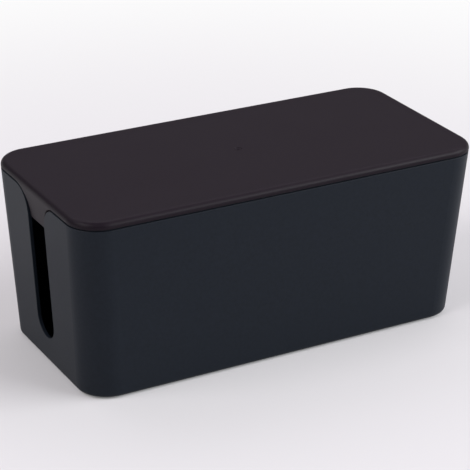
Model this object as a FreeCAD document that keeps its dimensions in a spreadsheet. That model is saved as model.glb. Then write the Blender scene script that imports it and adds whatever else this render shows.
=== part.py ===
import FreeCAD, Part
import math
import os

import Sketcher
from FreeCAD import Vector

# Cable management box: a drafted open tub, a lift-off lid whose end tabs close the mouths of
# the two cable slots, and four rubber feet pressed into the underside.
#
# The tub and the lid are modelled from the underside of the tub, at height zero, and placed
# foot_proud above the surface that the feet stand on. X runs along the box and Y across it.

os.makedirs("parts", exist_ok=True)
doc = FreeCAD.newDocument("cable_box")

# Driving dimensions in millimetres
SIZES = {
    "top_length": 320.0,
    "top_width": 151.0,
    "body_height": 135.0,
    "end_taper": 8.5,
    "side_taper": 6.25,
    "corner_radius": 23.0,
    "wall": 2.5,
    "floor_radius": 2.0,
    "base_edge_radius": 3.2,
    "rim_height": 5.0,
    "seam_gap": 1.0,
    "seam_depth": 1.2,
    "slot_width": 27.0,
    "slot_bottom": 20.5,
    "mouth_radius": 17.5,
    "edge_break": 0.3,
    "lid_thickness": 2.5,
    "lid_edge_radius": 4.2,
    "lip_depth": 6.0,
    "lip_thickness": 1.8,
    "lip_clearance": 0.4,
    "tab_straight": 1.0,
    "tab_thickness": 3.3,
    "tab_corner_radius": 1.3,
    "tab_lean": 1.8,
    "dimple_radius": 3.2,
    "dimple_depth": 0.4,
    "gate_radius": 0.9,
    "gate_height": 0.25,
    "foot_radius": 6.5,
    "foot_proud": 1.0,
    "foot_recess": 0.9,
    "foot_clearance": 0.15,
    "foot_chamfer": 0.5,
    "foot_inset_x": 30.0,
    "foot_inset_y": 26.0,
    "overrun": 1.0,
    "tolerance": 0.01,
}

sheet = doc.addObject("Spreadsheet::Sheet", "Sizes")
for row, (alias, value) in enumerate(SIZES.items(), start=1):
    sheet.set(f"A{row}", alias)
    sheet.set(f"B{row}", str(value))
    sheet.setAlias(f"B{row}", alias)
doc.recompute()


def cells(expression):
    """Write each driving dimension in an expression as its cell in the sheet of sizes."""
    words = expression.replace("(", "( ").replace(")", " )").split()
    return " ".join(f"Sizes.{word}" if word in SIZES else word for word in words)


def number(expression):
    """The value of an expression in driving dimensions, in millimetres."""
    return float(sheet.evalExpression(cells(expression)))


# Heights above the underside of the tub
SEAT_HEIGHT = "body_height - rim_height"
SHOULDER_HEIGHT = "body_height - rim_height - seam_gap"
CEILING_HEIGHT = "body_height - lid_thickness"
LIP_BOTTOM = "body_height - rim_height - lip_depth"
FLARE_HEIGHT = "body_height - rim_height - seam_gap - mouth_radius"
TAB_HEIGHT = "( seam_gap + mouth_radius + tab_straight + tab_corner_radius )"
TAB_BOTTOM = f"body_height - rim_height - {TAB_HEIGHT}"

# Insets from the drafted outside face
LIP_INSET = "wall + lip_clearance"
LIP_INNER_INSET = "wall + lip_clearance + lip_thickness"


def half_length_at(height):
    """Half the outside length at a height: the ends lean in by their taper from the top down."""
    return f"( top_length / 2 - end_taper * ( body_height - ( {height} ) ) / body_height )"


def half_width_at(height):
    """Half the outside width at a height: the long sides lean in by their taper from the top down."""
    return f"( top_width / 2 - side_taper * ( body_height - ( {height} ) ) / body_height )"


def half_length_over_tabs(height):
    """Half the length over the tabs at a height below the rim: their outsides lean in to the tip."""
    return f"( {half_length_at(height)} - tab_lean * ( {SEAT_HEIGHT} - ( {height} ) ) / {TAB_HEIGHT} )"


def new_body(name):
    """A body whose label names its file."""
    body = doc.addObject("PartDesign::Body", name)
    body.Label = name
    return body


def new_sketch(body, name, role, height="0"):
    """A sketch on one of the body's origin planes, raised by a height along its normal."""
    plane = next(feature for feature in body.Origin.OriginFeatures if feature.Role == role)
    sketch = body.newObject("Sketcher::SketchObject", name)
    sketch.AttachmentSupport = (plane, [""])
    sketch.MapMode = "FlatFace"
    sketch.setExpression("AttachmentOffset.Base.z", cells(height))
    return sketch


def dimension(sketch, name, expression, kind, *places):
    """A named sketch dimension that follows an expression in the driving dimensions."""
    index = sketch.addConstraint(Sketcher.Constraint(kind, *places, number(expression)))
    sketch.renameConstraint(index, name)
    sketch.setExpression(f"Constraints.{name}", cells(expression))


def feature(body, kind, name, profile, **settings):
    """A sketched feature, whose numeric settings are plain and whose text lengths are bound."""
    made = body.newObject(kind, name)
    made.Profile = profile
    for setting, value in settings.items():
        if setting == "Length":
            made.setExpression(setting, cells(value))
        else:
            setattr(made, setting, value)
    profile.Visibility = False
    doc.recompute()
    require_change(made)
    return made


def require_change(made):
    """Stop where a feature leaves the material as it was, as a cut that misses does."""
    before = made.BaseFeature.Shape.Volume if made.BaseFeature else 0.0
    after = made.Shape.Volume
    cuts = "Subtractive" in made.TypeId or made.TypeId.endswith(("Pocket", "Groove"))
    if cuts and not after < before:
        raise RuntimeError(f"{made.Label} removes nothing")
    if not cuts and after == before:
        raise RuntimeError(f"{made.Label} changes nothing")


def dress_edges(body, kind, name, size, chosen):
    """Fillet or chamfer the edges of the body's latest feature for which the test holds."""
    base = body.Tip
    names = [f"Edge{index}" for index, edge in enumerate(base.Shape.Edges, start=1) if chosen(edge)]
    if not names:
        raise RuntimeError(f"{name} finds no edge")
    dressing = body.newObject(f"PartDesign::{kind}", name)
    dressing.Base = (base, names)
    dressing.setExpression("Size" if kind == "Chamfer" else "Radius", cells(size))
    doc.recompute()
    require_change(dressing)
    return dressing


def line(sketch, start, end):
    """A straight stretch of a sketch between two places in its plane."""
    return sketch.addGeometry(Part.LineSegment(Vector(*start, 0), Vector(*end, 0)), False)


def rounded_rectangle(sketch, prefix, height, inset):
    """The box's plan at a height, inset from its outside face, centred on the sketch origin."""
    half_length = f"{half_length_at(height)} - ( {inset} )"
    half_width = f"{half_width_at(height)} - ( {inset} )"
    radius = f"corner_radius - ( {inset} )"
    x, y, r = number(half_length), number(half_width), number(radius)
    ends = (
        ((x, r - y), (x, y - r)),
        ((x - r, y), (r - x, y)),
        ((-x, y - r), (-x, r - y)),
        ((r - x, -y), (x - r, -y)),
    )
    centres = (
        Vector(x - r, y - r, 0),
        Vector(r - x, y - r, 0),
        Vector(r - x, r - y, 0),
        Vector(x - r, r - y, 0),
    )
    lines = []
    arcs = []
    for quarter, (line_ends, centre) in enumerate(zip(ends, centres)):
        circle = Part.Circle(centre, Vector(0, 0, 1), r)
        start = quarter * math.pi / 2
        lines.append(line(sketch, *line_ends))
        arcs.append(sketch.addGeometry(Part.ArcOfCircle(circle, start, start + math.pi / 2), False))
    for quarter in range(4):
        following = lines[(quarter + 1) % 4]
        sketch.addConstraint(Sketcher.Constraint("Tangent", lines[quarter], 2, arcs[quarter], 1))
        sketch.addConstraint(Sketcher.Constraint("Tangent", arcs[quarter], 2, following, 1))
        upright = "Vertical" if quarter % 2 == 0 else "Horizontal"
        sketch.addConstraint(Sketcher.Constraint(upright, lines[quarter]))
    for quarter in range(1, 4):
        sketch.addConstraint(Sketcher.Constraint("Equal", arcs[0], arcs[quarter]))
    dimension(sketch, f"{prefix}_right", half_length, "DistanceX", -1, 1, lines[0], 1)
    dimension(sketch, f"{prefix}_rear", half_width, "DistanceY", -1, 1, lines[1], 1)
    dimension(sketch, f"{prefix}_left", half_length, "DistanceX", lines[2], 1, -1, 1)
    dimension(sketch, f"{prefix}_front", half_width, "DistanceY", lines[3], 1, -1, 1)
    dimension(sketch, f"{prefix}_radius", radius, "Radius", arcs[0])


def plan(body, name, height, *insets):
    """A horizontal sketch of the box's plan, with one rounded rectangle for each inset."""
    sketch = new_sketch(body, name, "XY_Plane", height)
    for count, inset in enumerate(insets):
        rounded_rectangle(sketch, f"ring{count}", height, inset)
    return sketch


def loft(body, kind, name, low, high, inset):
    """A drafted block between two heights, which follows the outside face at an inset."""
    first = plan(body, f"{name}_low", low, inset)
    last = plan(body, f"{name}_high", high, inset)
    last.Visibility = False
    return feature(body, kind, name, first, Sections=[last], Ruled=True)


def on_outside(edge):
    """Whether an edge's ends lie on the drafted sides or ends of the box, or on a tab's outside."""
    for vertex in edge.Vertexes:
        height = f"{vertex.Z}"
        gaps = (
            number(half_length_at(height)) - abs(vertex.X),
            number(half_width_at(height)) - abs(vertex.Y),
            number(half_length_over_tabs(height)) - abs(vertex.X),
        )
        if min(abs(gap) for gap in gaps) > number("tolerance"):
            return False
    return True


def beside_slot(edge):
    """Whether an edge lies within the width of the slot's flared mouth."""
    reach = number("slot_width / 2 + mouth_radius + tolerance")
    return edge.BoundBox.YMin > -reach and edge.BoundBox.YMax < reach


def outline(sketch, points):
    """Closed straight-sided outline through points given as expressions, each bound in X and Y."""
    places = [(number(x), number(y)) for x, y in points]
    sides = [line(sketch, start, end) for start, end in zip(places, places[1:] + places[:1])]
    for side, following in zip(sides, sides[1:] + sides[:1]):
        sketch.addConstraint(Sketcher.Constraint("Coincident", side, 2, following, 1))
    for side, (x, y) in zip(sides, points):
        dimension(sketch, f"x{side}", x, "DistanceX", -1, 1, side, 1)
        dimension(sketch, f"y{side}", y, "DistanceY", -1, 1, side, 1)


def drafted_block(body, name, low, high):
    """The box's outside between two heights: a pad with sloping sides, cut to the draft of the ends."""
    below = f"{low} - overrun"
    above = f"{high} + overrun"
    half_low = half_width_at(low)
    half_high = half_width_at(high)
    sides = new_sketch(body, f"{name}_sides", "YZ_Plane")
    outline(sides, [
        (f"0 - {half_low}", low),
        (half_low, low),
        (half_high, high),
        (f"0 - {half_high}", high),
    ])
    across = "top_length + 2 * overrun"
    feature(body, "PartDesign::Pad", f"{name}_pad", sides, SideType="Symmetric", Length=across)

    end_low = half_length_at(below)
    end_high = half_length_at(above)
    beyond = "( top_length / 2 + 2 * overrun )"
    ends = new_sketch(body, f"{name}_ends", "XZ_Plane")
    for sign in ("", "0 - "):
        outline(ends, [
            (sign + end_low, below),
            (sign + beyond, below),
            (sign + beyond, above),
            (sign + end_high, above),
        ])
    across = "top_width + 2 * overrun"
    feature(body, "PartDesign::Pocket", f"{name}_end_cut", ends, SideType="Symmetric", Length=across)
    tall = number(f"{high} - ( {low} ) - tolerance")

    def upright(edge):
        return edge.BoundBox.ZLength > tall

    dress_edges(body, "Fillet", f"{name}_corners", "corner_radius", upright)


def place_on_feet(body):
    """Raise a body by what the feet stand proud of the tub's underside."""
    body.setExpression(".Placement.Base.z", cells("foot_proud"))


def at_height(piece, height):
    """Whether an edge or a face lies wholly in the horizontal plane at a height."""
    box = piece.BoundBox
    level = number(height)
    return abs(box.ZMin - level) < number("tolerance") and abs(box.ZMax - level) < number("tolerance")


def mouth_outline(sketch, half_width, shoulder, radius, foot_height, top_height):
    """Draw the two flared sides of a slot mouth or tab, and close them over the top.

    Each side rises at the half width and turns outwards on the radius to the shoulder's height.
    The outline is left open at the foot; the indices of the two upright sides are returned.
    """
    y, z, r = number(half_width), number(shoulder), number(radius)
    foot, top = number(foot_height), number(top_height)
    arms = []
    for side in (1, -1):
        inner, outer = side * y, side * (y + r)
        upright = line(sketch, (inner, foot), (inner, z - r))
        circle = Part.Circle(Vector(outer, z - r, 0), Vector(0, 0, 1), r)
        first = math.pi / 2 if side > 0 else 0.0
        flare = sketch.addGeometry(Part.ArcOfCircle(circle, first, first + math.pi / 2), False)
        near, far = (2, 1) if side > 0 else (1, 2)
        rise = line(sketch, (outer, z), (outer, top))
        sketch.addConstraint(Sketcher.Constraint("Vertical", upright))
        sketch.addConstraint(Sketcher.Constraint("Vertical", rise))
        sketch.addConstraint(Sketcher.Constraint("Tangent", upright, 2, flare, near))
        sketch.addConstraint(Sketcher.Constraint("Coincident", flare, far, rise, 1))
        arms.append((upright, flare, rise))
    (right, right_flare, right_rise), (left, left_flare, left_rise) = arms
    cover = line(sketch, (y + r, top), (-y - r, top))
    sketch.addConstraint(Sketcher.Constraint("Horizontal", cover))
    sketch.addConstraint(Sketcher.Constraint("Coincident", right_rise, 2, cover, 1))
    sketch.addConstraint(Sketcher.Constraint("Coincident", cover, 2, left_rise, 2))
    sketch.addConstraint(Sketcher.Constraint("Vertical", right_flare, 3, right_flare, 1))
    sketch.addConstraint(Sketcher.Constraint("Vertical", left_flare, 3, left_flare, 2))
    dimension(sketch, "right_side", half_width, "DistanceX", -1, 1, right, 1)
    dimension(sketch, "left_side", half_width, "DistanceX", left, 1, -1, 1)
    dimension(sketch, "right_radius", radius, "Radius", right_flare)
    dimension(sketch, "left_radius", radius, "Radius", left_flare)
    dimension(sketch, "right_shoulder", shoulder, "DistanceY", -1, 1, right_rise, 1)
    dimension(sketch, "left_shoulder", shoulder, "DistanceY", -1, 1, left_rise, 1)
    dimension(sketch, "top", top_height, "DistanceY", -1, 1, cover, 1)
    return right, left


def slot_sketch(body):
    """Both cable slots: round at the bottom, straight-sided, with a mouth that flares at the rim."""
    sketch = new_sketch(body, "slot_profile", "YZ_Plane")
    half_width = "slot_width / 2"
    centre_height = "slot_bottom + slot_width / 2"
    right, left = mouth_outline(
        sketch, half_width, SHOULDER_HEIGHT, "mouth_radius", centre_height, "body_height + overrun"
    )
    circle = Part.Circle(Vector(0, number(centre_height), 0), Vector(0, 0, 1), number(half_width))
    bottom = sketch.addGeometry(Part.ArcOfCircle(circle, math.pi, 2 * math.pi), False)
    sketch.addConstraint(Sketcher.Constraint("Tangent", left, 1, bottom, 1))
    sketch.addConstraint(Sketcher.Constraint("Tangent", bottom, 2, right, 1))
    dimension(sketch, "centre_height", centre_height, "DistanceY", -1, 1, bottom, 3)
    return sketch


def feet_places():
    """The four feet: node name and the signs of the place in X and Y."""
    for end_name, end in (("left", -1), ("right", 1)):
        for side_name, side in (("front", -1), ("rear", 1)):
            yield f"foot_{side_name}_{end_name}", end, side


FOOT_X = f"{half_length_at('0')} - foot_inset_x"
FOOT_Y = f"{half_width_at('0')} - foot_inset_y"


def break_seam_edges(body, name, height):
    """Chamfer what borders the seam on the outside: edges at its height, or round a slot or tab."""

    def on_seam(edge):
        return on_outside(edge) and at_height(edge, height) != beside_slot(edge)

    dress_edges(body, "Chamfer", name, "edge_break", on_seam)


def hollow_out(body):
    """Shell the block to an even wall, open at the seat for the lid."""
    base = body.Tip
    faces = enumerate(base.Shape.Faces, start=1)
    top = next(f"Face{index}" for index, face in faces if at_height(face, SEAT_HEIGHT))
    shell = body.newObject("PartDesign::Thickness", "shell")
    shell.Base = (base, [top])
    shell.setExpression("Value", cells("wall"))
    shell.Reversed = True
    doc.recompute()
    if not shell.Shape.Volume < base.Shape.Volume:
        raise RuntimeError("the shell removes nothing")


def lean_tabs(body):
    """Take a wedge off the outside of both tabs, so that their tips enter the slot mouths first."""
    sketch = new_sketch(body, "tab_lean_profile", "XZ_Plane")
    root = half_length_at(SEAT_HEIGHT)
    tip = half_length_over_tabs(TAB_BOTTOM)
    for sign in ("", "0 - "):
        outline(sketch, [
            (sign + root, SEAT_HEIGHT),
            (f"{sign}( {root} + overrun )", SEAT_HEIGHT),
            (f"{sign}( {root} + overrun )", TAB_BOTTOM),
            (sign + tip, TAB_BOTTOM),
        ])
    across = "slot_width + 2 * mouth_radius"
    feature(body, "PartDesign::Pocket", "tab_lean_cut", sketch, SideType="Symmetric", Length=across)


def make_tub():
    """The open tub: drafted walls, cable slots through both ends, and a shadow groove at the rim."""
    body = new_body("tub")
    place_on_feet(body)
    drafted_block(body, "tub", "0", SEAT_HEIGHT)
    hollow_out(body)
    dress_edges(body, "Fillet", "base_edge", "base_edge_radius", lambda edge: at_height(edge, "0"))
    dress_edges(body, "Fillet", "floor_edge", "floor_radius", lambda edge: at_height(edge, "wall"))

    groove = plan(body, "groove_ring", SEAT_HEIGHT, "seam_depth", "0 - overrun")
    feature(body, "PartDesign::Pocket", "seam_groove", groove, Length="seam_gap")

    slots = slot_sketch(body)
    through = "top_length + 2 * overrun"
    feature(body, "PartDesign::Pocket", "cable_slots", slots, SideType="Symmetric", Length=through)
    break_seam_edges(body, "tub_edge_break", SHOULDER_HEIGHT)

    recesses = new_sketch(body, "foot_recess_circles", "XY_Plane")
    for name, end, side in feet_places():
        centre = Vector(end * number(FOOT_X), side * number(FOOT_Y), 0)
        radius = "foot_radius + foot_clearance"
        circle = recesses.addGeometry(Part.Circle(centre, Vector(0, 0, 1), number(radius)), False)
        across = (-1, 1, circle, 3) if end > 0 else (circle, 3, -1, 1)
        along = (-1, 1, circle, 3) if side > 0 else (circle, 3, -1, 1)
        dimension(recesses, f"{name}_x", FOOT_X, "DistanceX", *across)
        dimension(recesses, f"{name}_y", FOOT_Y, "DistanceY", *along)
        dimension(recesses, f"{name}_radius", radius, "Radius", circle)
    feature(body, "PartDesign::Pocket", "foot_recesses", recesses, Reversed=True, Length="foot_recess")
    return body


def skirt_cut_sketch(body):
    """What is cut away below the lid's rim: all of the deep skirt but the two end tabs."""
    sketch = new_sketch(body, "skirt_cut_profile", "YZ_Plane")
    half_width = "slot_width / 2 - seam_gap"
    radius = "mouth_radius + seam_gap"
    centre_y = "slot_width / 2 + mouth_radius"
    centre_z = FLARE_HEIGHT
    outside = "top_width / 2 + overrun"
    bottom = f"{TAB_BOTTOM} - overrun"
    y, r = number(half_width), number(radius)
    cy, cz = number(centre_y), number(centre_z)
    seat, far, low = number(SEAT_HEIGHT), number(outside), number(bottom)
    tab, turn = number(TAB_BOTTOM), number("tab_corner_radius")
    for side, word in ((1, "right"), (-1, "left")):
        circle = Part.Circle(Vector(side * cy, cz, 0), Vector(0, 0, 1), r)
        first = math.pi / 2 if side > 0 else 0.0
        upper, lower = (1, 2) if side > 0 else (2, 1)
        flare = sketch.addGeometry(Part.ArcOfCircle(circle, first, first + math.pi / 2), False)
        under = line(sketch, (side * cy, seat), (side * far, seat))
        outer = line(sketch, (side * far, seat), (side * far, low))
        inner = side * (y - turn)
        foot = line(sketch, (side * far, low), (inner, low))
        step = line(sketch, (inner, low), (inner, tab))
        bend = Part.Circle(Vector(inner, tab + turn, 0), Vector(0, 0, 1), turn)
        begin = -math.pi / 2 if side > 0 else math.pi
        corner = sketch.addGeometry(Part.ArcOfCircle(bend, begin, begin + math.pi / 2), False)
        upright = line(sketch, (side * y, tab + turn), (side * y, cz))
        for constraint in (
            ("Horizontal", under),
            ("Vertical", outer),
            ("Horizontal", foot),
            ("Vertical", upright),
            ("Tangent", flare, upper, under, 1),
            ("Coincident", under, 2, outer, 1),
            ("Coincident", outer, 2, foot, 1),
            ("Coincident", foot, 2, step, 1),
            ("Vertical", step),
            ("Coincident", step, 2, corner, upper),
            ("Tangent", corner, lower, upright, 1),
            ("Tangent", upright, 2, flare, lower),
        ):
            sketch.addConstraint(Sketcher.Constraint(*constraint))
        across = (-1, 1, flare, 3) if side > 0 else (flare, 3, -1, 1)
        beyond = (-1, 1, outer, 1) if side > 0 else (outer, 1, -1, 1)
        dimension(sketch, f"{word}_centre_y", centre_y, "DistanceX", *across)
        dimension(sketch, f"{word}_centre_z", centre_z, "DistanceY", -1, 1, flare, 3)
        dimension(sketch, f"{word}_radius", radius, "Radius", flare)
        dimension(sketch, f"{word}_outside", outside, "DistanceX", *beyond)
        dimension(sketch, f"{word}_bottom", bottom, "DistanceY", -1, 1, foot, 1)
        dimension(sketch, f"{word}_tab", TAB_BOTTOM, "DistanceY", -1, 1, step, 2)
        dimension(sketch, f"{word}_corner", "tab_corner_radius", "Radius", corner)
    return sketch


def dimple_sketch(body):
    """Half of the shallow recess about the vertical axis at the middle of the lid, with its gate stub."""
    sketch = new_sketch(body, "dimple_profile", "XZ_Plane")
    recess_floor = "body_height - dimple_depth"
    gate_top = f"{recess_floor} + gate_height"
    outline(sketch, [
        ("0", "body_height"),
        ("0", gate_top),
        ("gate_radius", gate_top),
        ("gate_radius", recess_floor),
        ("dimple_radius - dimple_depth", recess_floor),
        ("dimple_radius", "body_height"),
    ])
    return sketch


def make_lid():
    """The lift-off lid: a flush rim, a locating lip inside the tub, and a tab in each slot mouth."""
    body = new_body("lid")
    place_on_feet(body)
    below = f"{TAB_BOTTOM} - overrun"
    drafted_block(body, "lid", TAB_BOTTOM, "body_height")
    dress_edges(body, "Fillet", "lid_edge", "lid_edge_radius", lambda edge: at_height(edge, "body_height"))
    loft(body, "PartDesign::SubtractiveLoft", "skirt_hollow", below, CEILING_HEIGHT, "tab_thickness")
    skirt = skirt_cut_sketch(body)
    through = "top_length + 2 * overrun"
    feature(body, "PartDesign::Pocket", "skirt_cut", skirt, SideType="Symmetric", Length=through)
    lean_tabs(body)
    break_seam_edges(body, "lid_edge_break", SEAT_HEIGHT)
    into_plate = f"{CEILING_HEIGHT} + lid_thickness / 2"
    loft(body, "PartDesign::AdditiveLoft", "lip_block", LIP_BOTTOM, into_plate, LIP_INSET)
    loft(body, "PartDesign::SubtractiveLoft", "lip_hollow", below, CEILING_HEIGHT, LIP_INNER_INSET)
    bowl = dimple_sketch(body)
    axis = (bowl, ["V_Axis"])
    feature(body, "PartDesign::Groove", "gate_dimple", bowl, ReferenceAxis=axis, Angle=360.0)
    return body


def make_foot(name, end, side):
    """A round rubber foot: its upper part fills a recess in the tub's underside."""
    body = new_body(name)
    body.setExpression(".Placement.Base.x", cells(f"{end} * ( {FOOT_X} )"))
    body.setExpression(".Placement.Base.y", cells(f"{side} * ( {FOOT_Y} )"))
    disc = new_sketch(body, f"{name}_disc", "XY_Plane")
    circle = disc.addGeometry(Part.Circle(Vector(0, 0, 0), Vector(0, 0, 1), number("foot_radius")), False)
    disc.addConstraint(Sketcher.Constraint("Coincident", circle, 3, -1, 1))
    dimension(disc, "radius", "foot_radius", "Radius", circle)
    feature(body, "PartDesign::Pad", f"{name}_pad", disc, Length="foot_proud + foot_recess")
    dress_edges(body, "Chamfer", f"{name}_edge", "foot_chamfer", lambda edge: at_height(edge, "0"))
    return body


bodies = [make_tub(), make_lid()]
bodies += [make_foot(name, end, side) for name, end, side in feet_places()]
doc.recompute()

for item in doc.Objects:
    if "Invalid" in item.State or "Error" in item.State:
        raise RuntimeError(f"{item.Label} failed: {item.State}")
for body in bodies:
    if body.Shape.isNull() or not body.Shape.isValid() or len(body.Shape.Solids) != 1:
        raise RuntimeError(f"{body.Label} isn't one valid solid")
for body in bodies:
    body.Shape.exportStep(f"parts/{body.Label}.step")
    box = body.Shape.BoundBox
    corners = (box.XMin, box.YMin, box.ZMin, box.XMax, box.YMax, box.ZMax)
    print(body.Label, round(body.Shape.Volume), [round(corner, 2) for corner in corners])
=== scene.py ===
"""Cable management box: finishes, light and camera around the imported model, in metres."""
import math

import bpy
from mathutils import Matrix, Vector

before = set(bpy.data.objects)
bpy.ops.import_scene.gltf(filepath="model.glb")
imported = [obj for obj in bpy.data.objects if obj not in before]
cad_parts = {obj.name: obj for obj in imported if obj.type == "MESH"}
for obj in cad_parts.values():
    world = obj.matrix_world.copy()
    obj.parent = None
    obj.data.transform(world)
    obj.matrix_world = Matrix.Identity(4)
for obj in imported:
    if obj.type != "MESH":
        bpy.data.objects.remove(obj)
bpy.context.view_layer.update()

# Camera: its place, the way it looks, its roll and its lens
CAMERA_PLACE = Vector((-0.6398, -1.1263, 0.6530))
CAMERA_AHEAD = Vector((0.4493, 0.7930, -0.4114))
CAMERA_ROLL = math.radians(-0.7993)
SENSOR_WIDTH = 36.0
PICTURE_WIDTH = 470
FOCAL_PIXELS = 1944.97
VIEW_REACH = 50.0

# Room: nearly dark, with a lit band high on its far side and a white horizon.
# The band's foot and head and the horizon are heights: 0 is level and 1 straight up.
# The band's side is the cosine of the angle between a direction and the band's azimuth.
ROOM_COLOUR = (0.95, 0.97, 1.0)
ROOM_LEVEL = 0.04
BAND_COLOUR = (1.0, 0.92, 1.0)
BAND_LEVEL = 1.5
BAND_AZIMUTH = math.radians(25)
BAND_SIDE = (-0.75, 0.30)
BAND_FOOT = (0.43, 0.59)
BAND_HEAD = (0.84, 0.97)
WHITE = (1.0, 1.0, 1.0)
HORIZON_BAND = (0.12, 0.06)

# Floor: its half width, its colour, what is added where it is seen, and the distances
# between which it turns white
FLOOR_REACH = 20.0
FLOOR_COLOUR = (0.60, 0.60, 0.60)
FLOOR_LIFT = 0.14
FLOOR_FADE = (0.24, 1.00)

# Softboxes: azimuth, elevation, distance, width and height, level, colour.
# They look at a point near the middle of the box.
SOFTBOXES = {
    "front_right": (-38, 29, 5.0, (4.0, 1.6), 9.9, (0.95, 0.97, 1.0)),
    "left_high": (183, 49, 5.0, (2.8, 1.2), 9.0, (1.0, 0.95, 1.0)),
    "left_low": (195, 25, 5.0, (4.0, 3.4), 0.9, (1.0, 0.98, 0.98)),
}
LAMP_AIM = Vector((0.0, 0.0, 0.07))

# Noise: the span that its values usually keep to
NOISE_SPAN = (0.3, 0.7)

# Moulded plastic: colours, sheen, fine grain, specks of tone and slow waves
# Lid and tub are one black plastic. The lid's purple tint is painted: it is the purple that its top
# reflects.
LID_BLACK_AND_PAINTED_TINT = (0.0086, 0.0050, 0.0090)
# The tub's blue tint, and its tone lighter than the lid's, are painted light that its sides reflect.
TUB_BLACK_AND_PAINTED_TINT = (0.0094, 0.0132, 0.0194)
PLASTIC_ROUGHNESS = (0.43, 0.49)
PLASTIC_SPECULAR = 0.13
GRAIN_SIZE = 0.0006
GRAIN_DETAIL = 1.0
GRAIN_DEPTH = 0.000012
SPECK_SIZE = 0.0025
SPECK_DETAIL = 2.0
SPECK_SPREAD = 0.10
WAVE_SIZE = 0.09
WAVE_DETAIL = 1.0
WAVE_DEPTH = 0.00008

# Rubber of the feet: colour, sheen and a coarser grain
RUBBER_BLACK = (0.017, 0.017, 0.018)
RUBBER_ROUGHNESS = (0.70, 0.82)
RUBBER_SPECULAR = 0.25
RUBBER_GRAIN_SIZE = 0.0009
RUBBER_GRAIN_DETAIL = 3.0
RUBBER_GRAIN_DEPTH = 0.00003
RUBBER_SPREAD = 0.20


def add_node(tree, kind, inputs=None, **settings):
    """Add a shader node; an input gets a link where its value is another node's output."""
    node = tree.nodes.new(f"ShaderNode{kind}")
    for name, value in settings.items():
        setattr(node, name, value)
    for key, value in (inputs or {}).items():
        if isinstance(value, bpy.types.NodeSocket):
            tree.links.new(value, node.inputs[key])
        else:
            node.inputs[key].default_value = value
    return node


def opaque(colour):
    """A colour with full alpha, as sockets want it."""
    return (*colour, 1.0)


def new_tree(owner):
    """The emptied node tree of a material or world."""
    owner.use_nodes = True
    owner.node_tree.nodes.clear()
    return owner.node_tree


def link_object(name, data):
    """A new object in the scene."""
    made = bpy.data.objects.new(name, data)
    bpy.context.scene.collection.objects.link(made)
    return made


def make_camera():
    """The scene's camera, rolled about the way it looks."""
    data = bpy.data.cameras.new("camera")
    data.sensor_width = SENSOR_WIDTH
    data.lens = FOCAL_PIXELS / PICTURE_WIDTH * SENSOR_WIDTH
    data.clip_end = VIEW_REACH
    camera = link_object("camera", data)
    back = -CAMERA_AHEAD.normalized()
    level = Vector((0.0, 0.0, 1.0)).cross(back).normalized()
    above = back.cross(level)
    right = math.cos(CAMERA_ROLL) * level - math.sin(CAMERA_ROLL) * above
    up = math.sin(CAMERA_ROLL) * level + math.cos(CAMERA_ROLL) * above
    turn = Matrix((right, up, back)).transposed()
    camera.matrix_world = Matrix.Translation(CAMERA_PLACE) @ turn.to_4x4()
    bpy.context.scene.camera = camera


def make_softbox(name, azimuth, elevation, distance, size, level, colour):
    """A soft lamp that looks at the box, placed by degrees; its level sets how bright its face is."""
    data = bpy.data.lights.new(name, "AREA")
    data.shape = "RECTANGLE"
    data.size, data.size_y = size
    data.energy = level * math.pi * size[0] * size[1]
    data.color = colour
    around = Matrix.Rotation(math.radians(azimuth), 3, "Z")
    tilt = Matrix.Rotation(math.radians(-elevation), 3, "Y")
    away = around @ tilt @ Vector((distance, 0.0, 0.0))
    lamp = link_object(name, data)
    lamp.location = LAMP_AIM + away
    lamp.rotation_euler = (-away).to_track_quat("-Z", "Y").to_euler()
    lamp.visible_camera = False


def soft_step(tree, value, span):
    """A smooth rise from 0 to 1 as the value goes from one end of the span to the other."""
    inputs = {"Value": value, "From Min": span[0], "From Max": span[1]}
    return add_node(tree, "MapRange", inputs, interpolation_type="SMOOTHSTEP").outputs["Result"]


def math_node(tree, operation, first, second):
    """The result of an operation on two values."""
    return add_node(tree, "Math", {0: first, 1: second}, operation=operation).outputs[0]


def mirrored_rays(tree):
    """1 for a ray that a reflection or a clear piece sends on, and 0 for the others."""
    rays = add_node(tree, "LightPath").outputs
    return math_node(tree, "ADD", rays["Is Glossy Ray"], rays["Is Transmission Ray"])


def room_light(tree, direction, height):
    """The room: a lit band between two heights on its far side, and nearly dark elsewhere."""
    towards = (math.cos(BAND_AZIMUTH), math.sin(BAND_AZIMUTH), 0.0)
    facing = add_node(tree, "VectorMath", {0: direction, 1: towards}, operation="DOT_PRODUCT")
    side = soft_step(tree, facing.outputs["Value"], BAND_SIDE)
    above_foot = soft_step(tree, height, BAND_FOOT)
    below_head = math_node(tree, "SUBTRACT", 1.0, soft_step(tree, height, BAND_HEAD))
    high = math_node(tree, "MULTIPLY", above_foot, below_head)
    lit = math_node(tree, "MULTIPLY", side, high)
    room = add_node(tree, "Background", {"Color": opaque(ROOM_COLOUR), "Strength": ROOM_LEVEL})
    band = add_node(tree, "Background", {"Color": opaque(BAND_COLOUR), "Strength": BAND_LEVEL})
    return add_node(tree, "MixShader", {"Fac": lit, 1: room.outputs[0], 2: band.outputs[0]}).outputs[0]


def make_world():
    """The room's light, with white for the camera and, near the horizon, in reflections."""
    world = bpy.data.worlds.new("studio")
    bpy.context.scene.world = world
    tree = new_tree(world)
    direction = add_node(tree, "TexCoord").outputs["Generated"]
    height = add_node(tree, "SeparateXYZ", {0: direction}).outputs["Z"]
    horizon = soft_step(tree, height, HORIZON_BAND)
    in_gloss = math_node(tree, "MULTIPLY", mirrored_rays(tree), horizon)
    seen = math_node(tree, "MAXIMUM", add_node(tree, "LightPath").outputs["Is Camera Ray"], in_gloss)
    white = add_node(tree, "Background", {"Color": opaque(WHITE)})
    room = room_light(tree, direction, height)
    both = add_node(tree, "MixShader", {"Fac": seen, 1: room, 2: white.outputs[0]})
    add_node(tree, "OutputWorld", {"Surface": both.outputs[0]})


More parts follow.
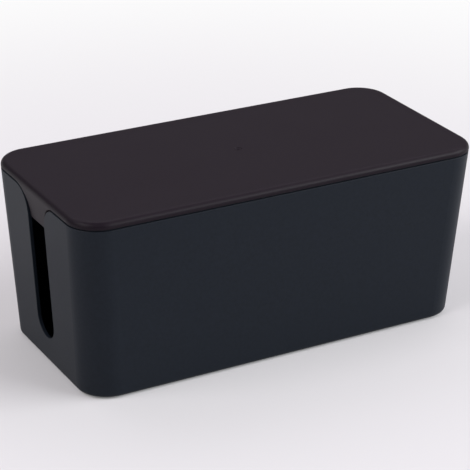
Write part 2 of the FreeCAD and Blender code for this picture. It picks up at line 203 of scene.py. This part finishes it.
def floor_material():
    """A pale matt floor; for the camera and in reflections it turns white away from the box."""
    material = bpy.data.materials.new("studio_floor")
    tree = new_tree(material)
    camera_rays = add_node(tree, "LightPath").outputs["Is Camera Ray"]
    seen = math_node(tree, "ADD", camera_rays, mirrored_rays(tree))
    lift = math_node(tree, "MULTIPLY", seen, FLOOR_LIFT)
    paper = add_node(tree, "BsdfDiffuse", {"Color": opaque(FLOOR_COLOUR)})
    glow = add_node(tree, "Emission", {"Color": opaque(WHITE), "Strength": lift})
    near = add_node(tree, "AddShader", {0: paper.outputs[0], 1: glow.outputs[0]})
    place = add_node(tree, "TexCoord").outputs["Object"]
    away = add_node(tree, "VectorMath", {0: place}, operation="LENGTH").outputs["Value"]
    fade = math_node(tree, "MULTIPLY", seen, soft_step(tree, away, FLOOR_FADE))
    white = add_node(tree, "Emission", {"Color": opaque(WHITE)})
    both = add_node(tree, "MixShader", {"Fac": fade, 1: near.outputs[0], 2: white.outputs[0]})
    add_node(tree, "OutputMaterial", {"Surface": both.outputs[0]})
    return material


def make_floor():
    """A square floor under the box, which isn't part of it."""
    mesh = bpy.data.meshes.new("floor")
    reach = FLOOR_REACH
    corners = [(-reach, -reach, 0), (reach, -reach, 0), (reach, reach, 0), (-reach, reach, 0)]
    mesh.from_pydata(corners, [], [(0, 1, 2, 3)])
    mesh.materials.append(floor_material())
    link_object("floor", mesh)


def noise(tree, place, size, detail):
    """Noise whose lumps measure about the given size, from 0 to 1."""
    inputs = {"Vector": place, "Scale": 1.0 / size, "Detail": detail}
    return add_node(tree, "TexNoise", inputs).outputs["Fac"]


def spread(tree, value, low, high):
    """Stretch the usual span of a noise over low to high."""
    least, most = NOISE_SPAN
    inputs = {"Value": value, "From Min": least, "From Max": most, "To Min": low, "To Max": high}
    return add_node(tree, "MapRange", inputs).outputs["Result"]


def mottled(tree, value, colour, amount):
    """A colour that the value makes a little darker or lighter."""
    darker = opaque([channel * (1.0 - amount) for channel in colour])
    lighter = opaque([channel * (1.0 + amount) for channel in colour])
    factor = spread(tree, value, 0.0, 1.0)
    # A Mix node takes its two colours at inputs 6 and 7 and gives the mixed one at output 2
    inputs = {0: factor, 6: darker, 7: lighter}
    return add_node(tree, "Mix", inputs, data_type="RGBA").outputs[2]


def relief(tree, height, depth, below=None):
    """A bump of the given depth in metres, on top of the one below where there is one."""
    inputs = {"Height": height, "Distance": depth}
    if below is not None:
        inputs["Normal"] = below
    return add_node(tree, "Bump", inputs).outputs["Normal"]


def moulded_plastic(name, black_and_painted_tint):
    """Black plastic from a spark-eroded mould: fine grain, slow waves, uneven sheen, on a base colour
    that carries a painted tint.
    """
    material = bpy.data.materials.new(name)
    tree = new_tree(material)
    place = add_node(tree, "TexCoord").outputs["Object"]
    grain = noise(tree, place, GRAIN_SIZE, GRAIN_DETAIL)
    specks = noise(tree, place, SPECK_SIZE, SPECK_DETAIL)
    waves = noise(tree, place, WAVE_SIZE, WAVE_DETAIL)
    normal = relief(tree, grain, GRAIN_DEPTH, relief(tree, waves, WAVE_DEPTH))
    shader = add_node(tree, "BsdfPrincipled", {
        "Base Color": mottled(tree, specks, black_and_painted_tint, SPECK_SPREAD),
        "Roughness": spread(tree, waves, *PLASTIC_ROUGHNESS),
        "Specular IOR Level": PLASTIC_SPECULAR,
        "Normal": normal,
    })
    add_node(tree, "OutputMaterial", {"Surface": shader.outputs[0]})
    return material


def foot_rubber():
    """Matt black rubber with a coarser, pebbly grain."""
    material = bpy.data.materials.new("foot_rubber")
    tree = new_tree(material)
    place = add_node(tree, "TexCoord").outputs["Object"]
    grain = noise(tree, place, RUBBER_GRAIN_SIZE, RUBBER_GRAIN_DETAIL)
    shader = add_node(tree, "BsdfPrincipled", {
        "Base Color": mottled(tree, grain, RUBBER_BLACK, RUBBER_SPREAD),
        "Roughness": spread(tree, grain, *RUBBER_ROUGHNESS),
        "Specular IOR Level": RUBBER_SPECULAR,
        "Normal": relief(tree, grain, RUBBER_GRAIN_DEPTH),
    })
    add_node(tree, "OutputMaterial", {"Surface": shader.outputs[0]})
    return material


def dress(names, material):
    """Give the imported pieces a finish."""
    for name in names:
        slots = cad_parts[name].data.materials
        slots.clear()
        slots.append(material)


bpy.context.scene.view_settings.view_transform = "Standard"
make_camera()
make_world()
make_floor()
for softbox, settings in SOFTBOXES.items():
    make_softbox(softbox, *settings)

# Lid and tub get the same plastic in two colours whose tints are painted light.
dress(["lid"], moulded_plastic("lid_plastic_painted_tint", LID_BLACK_AND_PAINTED_TINT))
dress(["tub"], moulded_plastic("tub_plastic_painted_tint", TUB_BLACK_AND_PAINTED_TINT))
dress([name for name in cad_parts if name.startswith("foot")], foot_rubber())
